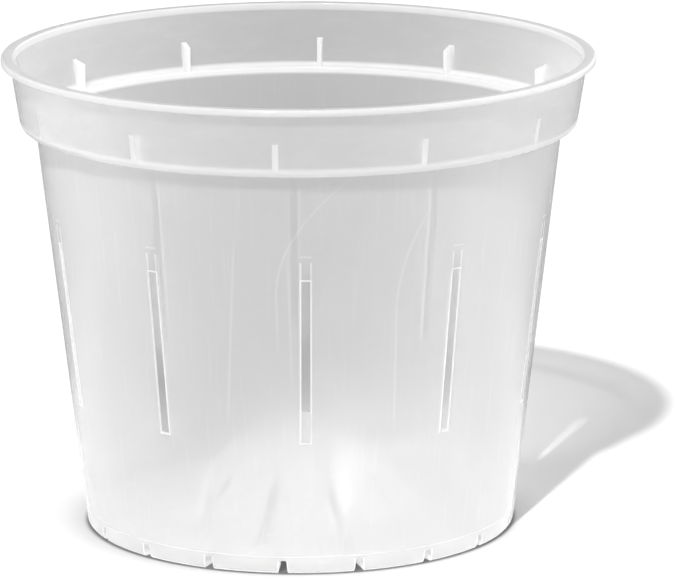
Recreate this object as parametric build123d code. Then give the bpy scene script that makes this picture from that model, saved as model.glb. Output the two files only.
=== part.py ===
from build123d import *
from math import cos, radians, sin
import os

# Orchid pot with slots: one thin-walled moulding in translucent plastic.
# Millimetres. The origin is the centre of the foot, on the plane that the pot stands on, and +Z is up.
# Azimuths are in degrees round the axis, from the front at -Y, growing towards +X.

# Where the mould's marks lie round the axis: a channel and a rib share this azimuth
mould_azimuth = -4.2

# Rim
pot_height = 123.0
rim_radius = 76.35
lip_thickness = 1.8
lip_reach = 2.35
lip_edge_radius = 0.7
lip_root_radius = 0.4
mouth_edge_radius = 0.4

# Collar and the ledge that it stands on
collar_height = 16.2
collar_taper = 2.5
collar_wall = 1.0
collar_corner_radius = 1.8
collar_inner_corner_radius = 1.2
ledge_thickness = 1.5
ledge_edge_radius = 0.4
shoulder_width = 3.8
shoulder_root_radius = 0.4

# Tapered wall
foot_radius = 55.5
wall = 0.85

# Foot pads, floor and the channels between the pads
floor_clearance = 3.5
floor_thickness = 0.9
pad_length = 7.5
pad_skin = 0.9
foot_edge_radius = 1.3
pad_edge_radius = 0.5
pocket_corner_radius = 0.5
channel_count = 18
channel_top_width = 1.6
channel_foot_width = 2.5
channel_foot_radius = 0.7
channel_top_radius = 0.3
channel_lead = 0.05

# Witness line that the foot of the mould leaves round the wall
witness_height = 4.6
witness_width = 0.3
witness_relief = 0.08

# Raised dome in the floor
dome_top = 27.0
crown_radius = 26.0
flank_angle = 50.0
flare_radius = 7.0
gate_radius = 1.2
gate_length = 0.6

# Slots through the wall, wider inside than outside, each with the groove that its mould block leaves above it
slot_count = 10
slot_lead_angle = 6.0
slot_width = 2.2
slot_inner_width = 3.2
slot_bottom = 35.2
slot_top = 77.6
slot_skin = 0.1

# Drain slots in the floor, which climb the dome
drain_count = 10
drain_width = 2.4
drain_inner_radius = 22.0
drain_outer_radius = 44.0

# Stacking ribs on the ledge
rib_count = 12
rib_root_width = 1.55
rib_edge_width = 1.15
rib_wall_height = 7.3
rib_inner_height = 6.1
rib_setback = 1.7
rib_edge_radius = 0.35

# How far a cutter runs past what it cuts
overrun = 2.0

# Share of a thin edge that the rounding on each of its sides may take
rounding_share = 0.45

# Azimuths, heights and radii that follow from the sizes above
front_angle = -90.0
slot_first_azimuth = mould_azimuth + slot_lead_angle
drain_first_azimuth = slot_first_azimuth + 180 / slot_count
lip_underside = pot_height - lip_thickness
shoulder = lip_underside - collar_height
ledge_top = shoulder + ledge_thickness
floor_top = floor_clearance + floor_thickness
collar_top_radius = rim_radius - lip_reach
collar_foot_radius = collar_top_radius - collar_taper
wall_top_radius = collar_foot_radius - shoulder_width
wall_slope = (wall_top_radius - foot_radius) / shoulder
collar_slope = collar_taper / collar_height
pad_inner_radius = foot_radius - pad_length
pocket_radius = pad_inner_radius + pad_skin


def wall_radius(height):
    """Outer radius of the tapered wall at a height."""
    return foot_radius + wall_slope * height


def collar_radius(height):
    """Outer radius of the collar at a height."""
    return collar_foot_radius + collar_slope * (height - shoulder)


def rounding(radius, edge):
    """A rounding radius, limited by the thickness of the edge that it rounds."""
    return min(radius, edge * rounding_share)


def at_azimuths(shape, count, first):
    """Copies of a shape built along +X, set round the axis at equal steps from the first azimuth."""
    step = 360 / count
    return [Rot(0, 0, front_angle + first + step * copy) * shape for copy in range(count)]


# The flank of the dome, solved so that crown, flank and flare are tangent to each other
flank = radians(flank_angle)
dome_rise = dome_top - floor_top
flank_length = (dome_rise - (crown_radius + flare_radius) * (1 - cos(flank))) / sin(flank)
dome_foot_radius = (crown_radius + flare_radius) * sin(flank) + flank_length * cos(flank)


def dome_line(offset):
    """Section of the dome from the axis to the floor, moved down into the plastic by an offset."""
    crown = crown_radius - offset
    flare = flare_radius + offset
    crown_centre = Vector(0, dome_top - crown_radius)
    flare_centre = Vector(dome_foot_radius, floor_top + flare_radius)
    half = flank / 2
    crown_start = crown_centre + Vector(0, crown)
    crown_middle = crown_centre + Vector(crown * sin(half), crown * cos(half))
    crown_end = crown_centre + Vector(crown * sin(flank), crown * cos(flank))
    flare_start = flare_centre - Vector(flare * sin(flank), flare * cos(flank))
    flare_middle = flare_centre - Vector(flare * sin(half), flare * cos(half))
    flare_end = flare_centre - Vector(0, flare)
    return [
        ThreePointArc(crown_start, crown_middle, crown_end),
        Line(crown_end, flare_start),
        ThreePointArc(flare_start, flare_middle, flare_end),
    ]


def turned(edges):
    """Solid of revolution about the axis, from a closed section drawn as radius and height."""
    return revolve(Plane.XZ * make_face(edges), Axis.Z)


def moulding():
    """The pot without its ribs and openings, as one section turned about the axis."""
    inner_wall_top = wall_radius(ledge_top) - wall
    witness_foot = witness_height - witness_width / 2
    witness_top = witness_height + witness_width / 2
    pad_edge = rounding(pad_edge_radius, floor_clearance)
    lip_edge = rounding(lip_edge_radius, lip_thickness)
    corners = [
        ((pad_inner_radius, floor_clearance), pad_edge),
        ((pad_inner_radius, 0), pad_edge),
        ((foot_radius, 0), foot_edge_radius),
        ((wall_radius(witness_foot), witness_foot), 0),
        ((wall_radius(witness_height) + witness_relief, witness_height), 0),
        ((wall_radius(witness_top), witness_top), 0),
        ((wall_top_radius, shoulder), shoulder_root_radius),
        ((collar_foot_radius, shoulder), collar_corner_radius),
        ((collar_top_radius, lip_underside), rounding(lip_root_radius, lip_reach)),
        ((rim_radius, lip_underside), lip_edge),
        ((rim_radius, pot_height), lip_edge),
        ((collar_radius(pot_height) - collar_wall, pot_height), rounding(mouth_edge_radius, lip_thickness)),
        ((collar_radius(ledge_top) - collar_wall, ledge_top), collar_inner_corner_radius),
        ((inner_wall_top, ledge_top), rounding(ledge_edge_radius, ledge_thickness)),
        ((wall_radius(floor_top) - wall, floor_top), 0),
    ]
    start = (dome_foot_radius, floor_clearance)
    end = (dome_foot_radius, floor_top)
    points = [start] + [point for point, radius in corners] + [end]
    radii = [radius for point, radius in corners]
    underside = dome_line(floor_thickness)
    outline = FilletPolyline(*points, radius=radii)
    axis_line = Line((0, dome_top - floor_thickness), (0, dome_top))
    return turned(underside + [outline] + dome_line(0) + [axis_line])


def channel_prism(spread, top):
    """A radial bar under the floor with the section of a channel, widened by a spread on each side."""
    half_top = channel_top_width / 2 + spread
    half_foot = channel_foot_width / 2 + spread
    half_base = half_foot + channel_foot_radius * 2
    section = FilletPolyline(
        (-half_top, top),
        (half_top, top),
        (half_foot, -channel_lead),
        (half_base, -channel_lead),
        (half_base, -overrun),
        (-half_base, -overrun),
        (-half_base, -channel_lead),
        (-half_foot, -channel_lead),
        radius=[
            channel_top_radius,
            channel_top_radius,
            channel_foot_radius,
            0,
            0,
            0,
            0,
            channel_foot_radius,
        ],
        close=True,
    )
    start = pad_inner_radius - overrun
    length = wall_radius(floor_top) + overrun - start
    return extrude(Plane.YZ.offset(start) * make_face(section), length)


def pad_pockets():
    """The hollows inside the foot pads, one between each two channels."""
    zone = FilletPolyline(
        (pocket_radius, floor_top),
        (pocket_radius, pad_skin),
        (wall_radius(pad_skin) - wall, pad_skin),
        (wall_radius(floor_top) - wall, floor_top),
        radius=[0, pocket_corner_radius, pocket_corner_radius, 0],
        close=True,
    )
    bars = at_azimuths(channel_prism(pad_skin, floor_top), channel_count, mould_azimuth)
    return turned([zone]) - bars


def block_plan(outer_radius, depth, height):
    """Plan of a slot's mould block at a height, from a depth in the wall to past its inner face."""
    growth = (slot_inner_width - slot_width) / wall / 2
    inner_depth = wall + wall / 2
    half_outer = slot_width / 2 + growth * depth
    half_inner = slot_width / 2 + growth * inner_depth
    plan = Polyline(
        (outer_radius - depth, -half_outer),
        (outer_radius - depth, half_outer),
        (outer_radius - inner_depth, half_inner),
        (outer_radius - inner_depth, -half_inner),
        close=True,
    )
    return Pos(0, 0, height) * make_face(plan)


def slot_cutters():
    """One slot through the wall, and the groove that its block cuts in the inner face on the way out."""
    foot_plan = block_plan(wall_radius(slot_bottom), -wall / 2, slot_bottom)
    rise = slot_top - slot_bottom
    through = Solid.extrude(foot_plan.face(), Vector(wall_slope * rise, 0, rise))
    groove_plan = block_plan(wall_radius(slot_top), slot_skin, slot_top)
    groove = extrude(groove_plan, pot_height + overrun - slot_top)
    return [through, groove]


def drain_cutter():
    """One radial drain slot with round ends, straight down through the dome's flank and the floor."""
    length = drain_outer_radius - drain_inner_radius
    outline = Pos((drain_outer_radius + drain_inner_radius) / 2, 0) * SlotOverall(length, drain_width)
    return extrude(outline, dome_top)


def stacking_rib():
    """One rib on the ledge against the collar, thinner at its free edge, so that nested pots come apart."""
    free_edge = wall_radius(ledge_top) - wall + rib_setback
    rib_foot = ledge_top - ledge_thickness / 2
    rib_top = ledge_top + rib_wall_height
    root_at_foot = collar_radius(ledge_top) - collar_wall / 2
    root_at_top = collar_radius(rib_top) - collar_wall / 2
    side = Polyline(
        (free_edge, rib_foot),
        (root_at_foot, rib_foot),
        (root_at_top, rib_top),
        (free_edge, ledge_top + rib_inner_height),
        close=True,
    )
    plan = Polyline(
        (free_edge, -rib_edge_width / 2),
        (free_edge, rib_edge_width / 2),
        (root_at_top, rib_root_width / 2),
        (root_at_top, -rib_root_width / 2),
        close=True,
    )
    bar = extrude(Plane.XZ * make_face(side), rib_root_width / 2, both=True)
    rib = bar & extrude(Pos(0, 0, rib_foot) * make_face(plan), rib_top - rib_foot)
    free_corners = rib.edges().filter_by(Axis.Z).group_by(Axis.X)[0]
    return fillet(free_corners, rounding(rib_edge_radius, rib_edge_width))


def gate_mark():
    """The stub of the sprue under the middle of the dome."""
    underside = dome_top - floor_thickness
    height = gate_length + floor_thickness / 2
    return Pos(0, 0, underside - gate_length + height / 2) * Cylinder(gate_radius, height)


def pot():
    """The whole moulding with its ribs, channels and slots."""
    ribs = at_azimuths(stacking_rib(), rib_count, mould_azimuth)
    channels = at_azimuths(channel_prism(0, floor_clearance), channel_count, mould_azimuth)
    slots = [at_azimuths(cutter, slot_count, slot_first_azimuth) for cutter in slot_cutters()]
    drains = at_azimuths(drain_cutter(), drain_count, drain_first_azimuth)
    body = moulding() - pad_pockets() - channels - sum(slots, []) - drains
    return body + ribs + [gate_mark()]


os.makedirs("parts", exist_ok=True)
finished = pot()
finished.label = "pot"
export_step(finished, "parts/pot.step")
print("pot", finished.volume, finished.bounding_box())
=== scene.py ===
"""Looks of the orchid pot with slots: one thin moulding in frosted, translucent plastic on a white floor."""
from collections import namedtuple
from math import cos, pi, radians, sin

import bpy
from mathutils import Matrix, Vector


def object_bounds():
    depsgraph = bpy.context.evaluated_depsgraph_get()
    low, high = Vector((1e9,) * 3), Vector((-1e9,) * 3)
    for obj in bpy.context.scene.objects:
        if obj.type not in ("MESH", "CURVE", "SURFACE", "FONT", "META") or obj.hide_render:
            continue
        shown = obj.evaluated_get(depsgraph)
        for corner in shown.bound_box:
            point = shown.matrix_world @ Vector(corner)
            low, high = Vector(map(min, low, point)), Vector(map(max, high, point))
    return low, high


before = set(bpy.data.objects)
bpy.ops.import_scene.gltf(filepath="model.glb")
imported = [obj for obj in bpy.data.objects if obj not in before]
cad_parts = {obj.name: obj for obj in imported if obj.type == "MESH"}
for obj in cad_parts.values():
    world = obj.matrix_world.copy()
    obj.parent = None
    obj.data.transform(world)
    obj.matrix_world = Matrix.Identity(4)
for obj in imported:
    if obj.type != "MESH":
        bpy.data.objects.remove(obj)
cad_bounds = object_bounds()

# Camera, as fitted to the outlines of the rim, ledge and foot in the photograph
camera_place = Vector((0.01034, -1.3519, 0.3762))
camera_pitch = radians(13.167)
camera_roll = radians(-0.152)
lens_length = 283.93
sensor_width = 36.0

# Key lamp. Its bearing comes from the shadow on the floor, and its width from the shadow's soft edge.
key_travel = Vector((0.227, 0.993, -1.0)).normalized()
key_level = 0.89
key_angle = radians(2.2)

# Soft light: a white screen at each side, the right one stronger, a little from above and from behind, and
# none from the viewer's side
fill_all_round = 0.1
fill_left = 1.0
fill_right = 2.8
fill_above = 0.2
fill_front = 0.0

# Light paths inside thin plastic are long: the most bounces of one kind and in all, and the most clear skins
bounce_limit = 64
path_limit = 128
clear_limit = 24

# Places on the pot, in metres, as on the solid. Azimuths start at the front and grow towards +X.
high_corner = cad_bounds[1]
rim_radius = high_corner[0]
pot_height = high_corner[2]
lip_thickness = 0.0018
lip_underside = pot_height - lip_thickness
rim_edge_width = 0.00065
rim_edge_radius = rim_radius - rim_edge_width
mouth_edge_height = 0.0005
mouth_edge_foot = pot_height - mouth_edge_height
mouth_radius = 0.0729
mouth_edge_width = 0.0005
ledge_foot = 0.105
ledge_thickness = 0.0015
ledge_top = ledge_foot + ledge_thickness
ledge_glow_height = 0.0008
ledge_glow_top = ledge_top + ledge_glow_height
rib_azimuth = radians(-4.2)
rib_count = 12
rib_half_width = 0.00075
rib_height = 0.0073
rib_top = ledge_top + rib_height
rib_inner_radius = 0.0686
slot_azimuth = radians(1.8)
slot_count = 10
slot_half_width = 0.0011
slot_edge_width = 0.00042
slot_bottom = 0.0352
slot_height = 0.0424
slot_top = slot_bottom + slot_height
groove_height = 0.0049
groove_top = slot_top + groove_height
groove_line_gap = 0.00126
groove_line_foot = groove_top + groove_line_gap
floor_underside = 0.0035
floor_thickness = 0.0009
floor_top = floor_underside + floor_thickness
dome_foot_radius = 0.0515
foot_radius = 0.0555
foot_edge_width = 0.002
foot_edge_radius = foot_radius - foot_edge_width
foot_edge_height = 0.0006
witness_height = 0.0046
witness_half = 0.00015
channel_count = 18
channel_half_width = 0.00105
channel_edge_width = 0.00025

# Weld and flow lines in the wall: azimuth at the knee, bend above it, height of the knee, how far the bend
# reaches, lean of the whole line in radians a metre, and the heights between which it shows
FlowLine = namedtuple("FlowLine", "azimuth bend knee reach lean low high")
flow_lines = [
    FlowLine(radians(-4.8), radians(13.8), 0.073, 0.0282, radians(-20), 0.062, 0.102),
    FlowLine(radians(-1.9), 0.0, 0.073, 0.02, radians(-20), 0.052, 0.0815),
    FlowLine(radians(22.7), radians(4.7), 0.068, 0.021, radians(-25), 0.040, 0.092),
    FlowLine(radians(-15.2), 0.0, 0.067, 0.02, radians(66), 0.042, 0.086),
]
flow_half_width = 0.00035

# How soft the edges of the white marks are
mark_edge = 0.0002
flow_edge = 0.0004
flow_fade = 0.008
ledge_edge = 0.0008
dome_edge = 0.006

# How much whiter the plastic is where it is thick or stressed, with painted highlights on its edges, a
# painted glow over the ledge and painted light on the raised floor
rib_white = 0.65
lip_white = 0.2
rim_edge_painted_highlight = 0.4
mouth_edge_painted_light = 0.3
ledge_white_and_painted_glow = 0.55
slot_edge_painted_highlight = 0.8
groove_side_painted_highlight = 0.35
groove_line_painted_highlight = 0.14
channel_edge_painted_highlight = 0.6
dome_painted_light = 1.0
foot_white = 0.05
foot_edge_painted_highlight = 0.7
witness_white = 0.35
flow_white = 0.065

# Streaks in the wall and mottling in the collar: how much whiter they are, how often they change in a radian
# round the pot and in a metre up it, and between which values of the noise they grow from nothing to full
grain_detail = 3.0
grain_roughness = 0.6
streak_white = 0.05
streaks_around = 38.0
streaks_up = 45.0
streak_start = 0.56
streak_full = 0.85
mottle_white = 0.035
mottle_around = 9.0
mottle_up = 350.0
mottle_start = 0.45
mottle_full = 0.75

# Frosted plastic: a rough, glossy skin, of which a share scatters light and the rest lets it pass unbent
# except at a glance, and a dense haze inside. Where it is whiter it is chalky, and sends half of the light
# on to its far side.
pure_white = (1.0, 1.0, 1.0, 1.0)
chalk_white = (0.98, 0.98, 0.98, 1.0)
far_side_share = 0.5
skin_roughness = 0.3
skin_index = 1.25
rough_share = 0.4
gloss_weight = 0.7
gloss_roughness = 0.1
glance_power = 5.0
haze_density = 500.0

# Floor. The camera sees it white. The plastic stands on a white table that passes into a dim room behind the
# pot and in front of it, so that walls and gaps look grey where they let that room's light through. The four
# distances from the pot's axis say where the white starts to fade and where the room's grey is reached.
floor_reach = 6.0
floor_white = 0.9
table_white = 0.95
room_grey = 0.3
fade_behind = 0.05
room_behind = 0.14
fade_before = 0.07
room_before = 0.16
room_before_share = 0.8

# Painted shade in the floor's colour at the foot: a dark line and a softer, wider shade, and how dark each
# is at the foot
shade_gap = 0.0001
shade_radius = foot_radius + shade_gap
line_reach = 0.0015
line_dark = 0.7
shade_reach = 0.013
shade_dark = 0.3


class Shade:
    """A shader socket that Python's operators work on, each as one Math node."""

    def __init__(self, tree, socket):
        self.tree = tree
        self.socket = socket

    def maths(self, operation, *others, turned=False):
        node = self.tree.nodes.new("ShaderNodeMath")
        node.operation = operation
        operands = [*others, self] if turned else [self, *others]
        for place, operand in zip(node.inputs, operands):
            plug(self.tree, place, operand)
        return Shade(self.tree, node.outputs[0])

    def __add__(self, other):
        return self.maths("ADD", other)

    __radd__ = __add__

    def __sub__(self, other):
        return self.maths("SUBTRACT", other)

    def __rsub__(self, other):
        return self.maths("SUBTRACT", other, turned=True)

    def __mul__(self, other):
        return self.maths("MULTIPLY", other)

    __rmul__ = __mul__

    def __truediv__(self, other):
        return self.maths("DIVIDE", other)

    def __rtruediv__(self, other):
        return self.maths("DIVIDE", other, turned=True)

    def __pow__(self, other):
        return self.maths("POWER", other)

    def __neg__(self):
        return self * -1.0

    def __abs__(self):
        return self.maths("ABSOLUTE")

    def at_least(self, other):
        return self.maths("MAXIMUM", other)

    def at_most(self, other):
        return self.maths("MINIMUM", other)

    def share(self):
        """The value, kept between zero and one."""
        return self.at_least(0.0).at_most(1.0)


def plug(tree, place, value):
    """Sets a node's input to a plain value, or links a socket or a node's first output to it."""
    if isinstance(value, Shade):
        value = value.socket
    if isinstance(value, bpy.types.Node):
        value = value.outputs[0]
    if isinstance(value, bpy.types.NodeSocket):
        tree.links.new(value, place)
    else:
        place.default_value = value


class Finish:
    """A node tree, to which nodes are added by type, settings and inputs."""

    def __init__(self, tree):
        self.tree = tree
        self.tree.nodes.clear()

    def node(self, kind, settings=None, **inputs):
        """Adds a node. An input is named as on the node, with _ for a space, or by its number as input_0."""
        made = self.tree.nodes.new("ShaderNode" + kind)
        for name, value in (settings or {}).items():
            setattr(made, name, value)
        for name, value in inputs.items():
            number = name.removeprefix("input_")
            key = int(number) if number.isdigit() else name.replace("_", " ")
            plug(self.tree, made.inputs[key], value)
        return made

    def shade(self, node, output=0):
        return Shade(self.tree, node.outputs[output])

    def axes(self, space):
        """X, Y and Z of a texture coordinate."""
        place = self.node("TexCoord")
        split = self.node("SeparateXYZ", input_0=place.outputs[space])
        return [self.shade(split, axis) for axis in range(3)]

    def mix(self, share, first, second):
        """Two surfaces in one, of which the second has the share."""
        return self.node("MixShader", input_0=share, input_1=first, input_2=second)


def new_material(name):
    material = bpy.data.materials.new(name)
    material.use_nodes = True
    return material, Finish(material.node_tree)


def above(value, limit, edge):
    """One where a value is above a limit, zero below it, with a soft edge."""
    return ((value - limit) / edge + 0.5).share()


def below(value, limit, edge):
    """One where a value is below a limit, zero above it, with a soft edge."""
    return above(-value, -limit, edge)


def between(value, low, high, edge):
    """One between two limits, zero outside them, with soft edges."""
    return above(value, low, edge) * below(value, high, edge)


def whitest(marks):
    """The strongest of several marks at each place."""
    strongest = marks[0]
    for mark in marks[1:]:
        strongest = strongest.at_least(mark)
    return strongest


# A place on the pot: its height, its distance from the axis and its azimuth
Place = namedtuple("Place", "z radius azimuth")


def off_centre(at, count, first_azimuth):
    """Distance round the pot from the middle of the nearest of a ring of equal features."""
    step = 2 * pi / count
    turn = ((at.azimuth - first_azimuth) / step + 0.5).maths("FRACT") - 0.5
    return abs(turn * step * at.radius)


def rim_marks(at):
    """The lip, with a painted highlight on its outer edge and painted light on the edge of the mouth inside
    it.
    """
    lip = above(at.z, lip_underside, mark_edge)
    outer_edge = lip * above(at.radius, rim_edge_radius, mark_edge)
    mouth_ring = between(at.radius, mouth_radius, mouth_radius + mouth_edge_width, mark_edge)
    mouth = above(at.z, mouth_edge_foot, mark_edge) * mouth_ring
    return [lip * lip_white, outer_edge * rim_edge_painted_highlight, mouth * mouth_edge_painted_light]


def ledge_marks(at):
    """The ledge, whiter where its plastic is thick, with a painted glow right through it and a little above
    it, and the stacking ribs on it.
    """
    ledge = between(at.z, ledge_foot, ledge_glow_top, ledge_edge)
    rib = below(off_centre(at, rib_count, rib_azimuth), rib_half_width, mark_edge)
    rib = rib * between(at.z, ledge_top, rib_top, mark_edge) * above(at.radius, rib_inner_radius, mark_edge)
    return [ledge * ledge_white_and_painted_glow, rib * rib_white]


def slot_marks(at):
    """Painted highlights: white outlines of the slots, of the groove above each and of the line over the
    groove.
    """
    across = off_centre(at, slot_count, slot_azimuth)
    edge_end = slot_half_width + slot_edge_width
    sides = between(across, slot_half_width, edge_end, mark_edge)
    inside = below(across, edge_end, mark_edge)
    slot_sides = sides * between(at.z, slot_bottom - slot_edge_width, slot_top, mark_edge)
    foot_bar = inside * between(at.z, slot_bottom - slot_edge_width, slot_bottom, mark_edge)
    top_bar = inside * between(at.z, slot_top, slot_top + slot_edge_width, mark_edge)
    groove_sides = sides * between(at.z, slot_top, groove_top, mark_edge)
    groove_line = inside * between(at.z, groove_line_foot, groove_line_foot + slot_edge_width, mark_edge)
    return [
        whitest([slot_sides, foot_bar, top_bar]) * slot_edge_painted_highlight,
        groove_sides * groove_side_painted_highlight,
        groove_line * groove_line_painted_highlight,
    ]


def flow_mark(at, line):
    """One fine pale line that the plastic left as it flowed, straight up to its knee and bent above it."""
    rise = at.z - line.knee
    bent = (rise / line.reach).at_least(0.0) ** 2.0 * line.bend
    middle = bent + rise * line.lean + line.azimuth
    aside = abs((at.azimuth - middle) * at.radius)
    return below(aside, flow_half_width, flow_edge) * between(at.z, line.low, line.high, flow_fade)


def foot_marks(at):
    """Painted light on the raised floor, the foot pads, painted highlights on the pads' lower edge and on
    the channels' edges, and the witness line.
    """
    dome = below(at.radius, dome_foot_radius, dome_edge)
    pads = below(at.z, floor_top, mark_edge)
    pad_edge = below(at.z, foot_edge_height, mark_edge) * above(at.radius, foot_edge_radius, mark_edge)
    witness = between(at.z, witness_height - witness_half, witness_height + witness_half, mark_edge)
    witness = witness * above(at.radius, foot_radius, mark_edge)
    across = off_centre(at, channel_count, rib_azimuth)
    channel = between(across, channel_half_width, channel_half_width + channel_edge_width, mark_edge)
    channel = channel * below(at.z, floor_underside, mark_edge)
    return [
        dome * dome_painted_light,
        pads * foot_white,
        pad_edge * foot_edge_painted_highlight,
        witness * witness_white,
        channel * channel_edge_painted_highlight,
    ]


def grain(finish, at, around, up, start, full):
    """Cloudy noise, stretched by how often it changes round the pot and up it."""
    place = finish.node("CombineXYZ", X=at.azimuth * around, Y=at.z * up)
    noise = finish.node("TexNoise", Vector=place, Scale=1.0, Detail=grain_detail, Roughness=grain_roughness)
    return ((finish.shade(noise) - start) / (full - start)).share()


def white_share(finish):
    """Where the plastic is thick or stressed it scatters more light and looks whiter; painted highlights on
    its edges and painted light on the raised floor whiten it too.
    """
    x, y, z = finish.axes("Object")
    at = Place(z, (x * x + y * y) ** 0.5, x.maths("ARCTAN2", -y))
    outside = above(at.radius, foot_radius, mark_edge)
    slots = [mark * outside for mark in slot_marks(at)]
    flow = whitest([flow_mark(at, line) for line in flow_lines]) * flow_white
    streaks = grain(finish, at, streaks_around, streaks_up, streak_start, streak_full) * streak_white
    streaks = streaks * below(at.z, ledge_foot, mark_edge) * outside
    mottle = grain(finish, at, mottle_around, mottle_up, mottle_start, mottle_full) * mottle_white
    mottle = mottle * above(at.z, ledge_top, mark_edge)
    return whitest([*rim_marks(at), *ledge_marks(at), *foot_marks(at), *slots, flow, streaks, mottle])


def frosted_plastic():
    """Rough skin that partly lets light straight through, over a white haze in the plastic itself."""
    material, finish = new_material("frosted_plastic")
    rough_skin = finish.node(
        "BsdfPrincipled",
        Base_Color=pure_white,
        Roughness=skin_roughness,
        IOR=skin_index,
        Transmission_Weight=1.0,
        Coat_Weight=gloss_weight,
        Coat_Roughness=gloss_roughness,
    )
    glance = finish.shade(finish.node("LayerWeight"), "Facing") ** glance_power
    gloss = finish.node("BsdfGlossy", Color=pure_white, Roughness=gloss_roughness)
    clear_skin = finish.mix(glance, finish.node("BsdfTransparent"), gloss)
    skin = finish.mix(rough_share, clear_skin, rough_skin)
    lit_side = finish.node("BsdfDiffuse", Color=chalk_white)
    far_side = finish.node("BsdfTranslucent", Color=chalk_white)
    chalky = finish.mix(far_side_share, lit_side, far_side)
    surface = finish.mix(white_share(finish), skin, chalky)
    haze = finish.node("VolumeScatter", Color=pure_white, Density=haze_density)
    finish.node("OutputMaterial", Surface=surface, Volume=haze)
    return material


def foot_shade(past_foot, reach, dark):
    """What is left of the floor's white beside the foot, where a painted shade fades out over its reach."""
    return 1.0 - (1.0 - past_foot / reach).share() ** 2.0 * dark


def white_floor():
    """White to the camera, with a painted shade at the foot. Through the plastic, and to other rays, it is a
    white table before a dim room.
    """
    material, finish = new_material("white_floor")
    x, y, _ = finish.axes("Object")
    behind = ((y - fade_behind) / (room_behind - fade_behind)).share()
    before = ((-y - fade_before) / (room_before - fade_before)).share() * room_before_share
    table = behind.at_least(before) * (room_grey - table_white) + table_white
    past_foot = (x * x + y * y) ** 0.5 - shade_radius
    line = foot_shade(past_foot, line_reach, line_dark)
    seen = line * foot_shade(past_foot, shade_reach, shade_dark) * floor_white
    path = finish.node("LightPath")
    through_skin = finish.shade(path, "Transparent Depth").share()
    direct = finish.shade(path, "Is Camera Ray") * (1.0 - through_skin)
    level = table + direct * (seen - table)
    colour = finish.node("CombineColor", Red=level, Green=level, Blue=level)
    finish.node("OutputMaterial", Surface=finish.node("BsdfDiffuse", Color=colour))
    return material


def make_floor():
    corners = [(-1, -1), (1, -1), (1, 1), (-1, 1)]
    mesh = bpy.data.meshes.new("floor")
    mesh.from_pydata([(x * floor_reach, y * floor_reach, 0.0) for x, y in corners], [], [(0, 1, 2, 3)])
    floor = bpy.data.objects.new("floor", mesh)
    bpy.context.scene.collection.objects.link(floor)
    floor.data.materials.append(white_floor())


def make_key():
    lamp = bpy.data.lights.new("key", "SUN")
    lamp.angle = key_angle
    lamp.energy = key_level * pi
    holder = bpy.data.objects.new("key", lamp)
    holder.rotation_euler = key_travel.to_track_quat("-Z", "Y").to_euler()
    bpy.context.scene.collection.objects.link(holder)


def make_world():
    """Even light that grows towards the screens at the sides and above, and fades towards the viewer."""
    world = bpy.data.worlds.new("studio")
    bpy.context.scene.world = world
    world.use_nodes = True
    finish = Finish(world.node_tree)
    x, y, z = finish.axes("Generated")
    left = x.at_most(0.0) ** 2.0 * (fill_left - fill_all_round)
    right = x.at_least(0.0) ** 2.0 * (fill_right - fill_all_round)
    top = z.at_least(0.0) * (fill_above - fill_all_round)
    front = (-y).at_least(0.0) * (fill_front - fill_all_round)
    light = left + right + top + front + fill_all_round
    sky = finish.node("Background", Color=pure_white, Strength=light)
    finish.node("OutputWorld", Surface=sky)


def make_camera():
    """A level camera, pitched down and then rolled a little about its own axis."""
    forward = Vector((0.0, cos(camera_pitch), -sin(camera_pitch)))
    level_right = Vector((1.0, 0.0, 0.0))
    level_up = Vector((0.0, sin(camera_pitch), cos(camera_pitch)))
    right = level_right * cos(camera_roll) + level_up * sin(camera_roll)
    up = level_up * cos(camera_roll) - level_right * sin(camera_roll)
    data = bpy.data.cameras.new("camera")
    data.lens = lens_length
    data.sensor_width = sensor_width
    data.sensor_fit = "HORIZONTAL"
    holder = bpy.data.objects.new("camera", data)
    turn = Matrix((right, up, -forward)).transposed().to_4x4()
    holder.matrix_world = Matrix.Translation(camera_place) @ turn
    bpy.context.scene.collection.objects.link(holder)
    bpy.context.scene.camera = holder


def set_light_paths():
    cycles = bpy.context.scene.cycles
    cycles.max_bounces = path_limit
    cycles.diffuse_bounces = bounce_limit
    cycles.glossy_bounces = bounce_limit
    cycles.transmission_bounces = bounce_limit
    cycles.volume_bounces = bounce_limit
    cycles.transparent_max_bounces = clear_limit


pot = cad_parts["pot"]
pot.data.materials.clear()
pot.data.materials.append(frosted_plastic())
make_floor()
make_key()
make_world()
make_camera()
set_light_paths()
bpy.context.scene.view_settings.view_transform = "Standard"
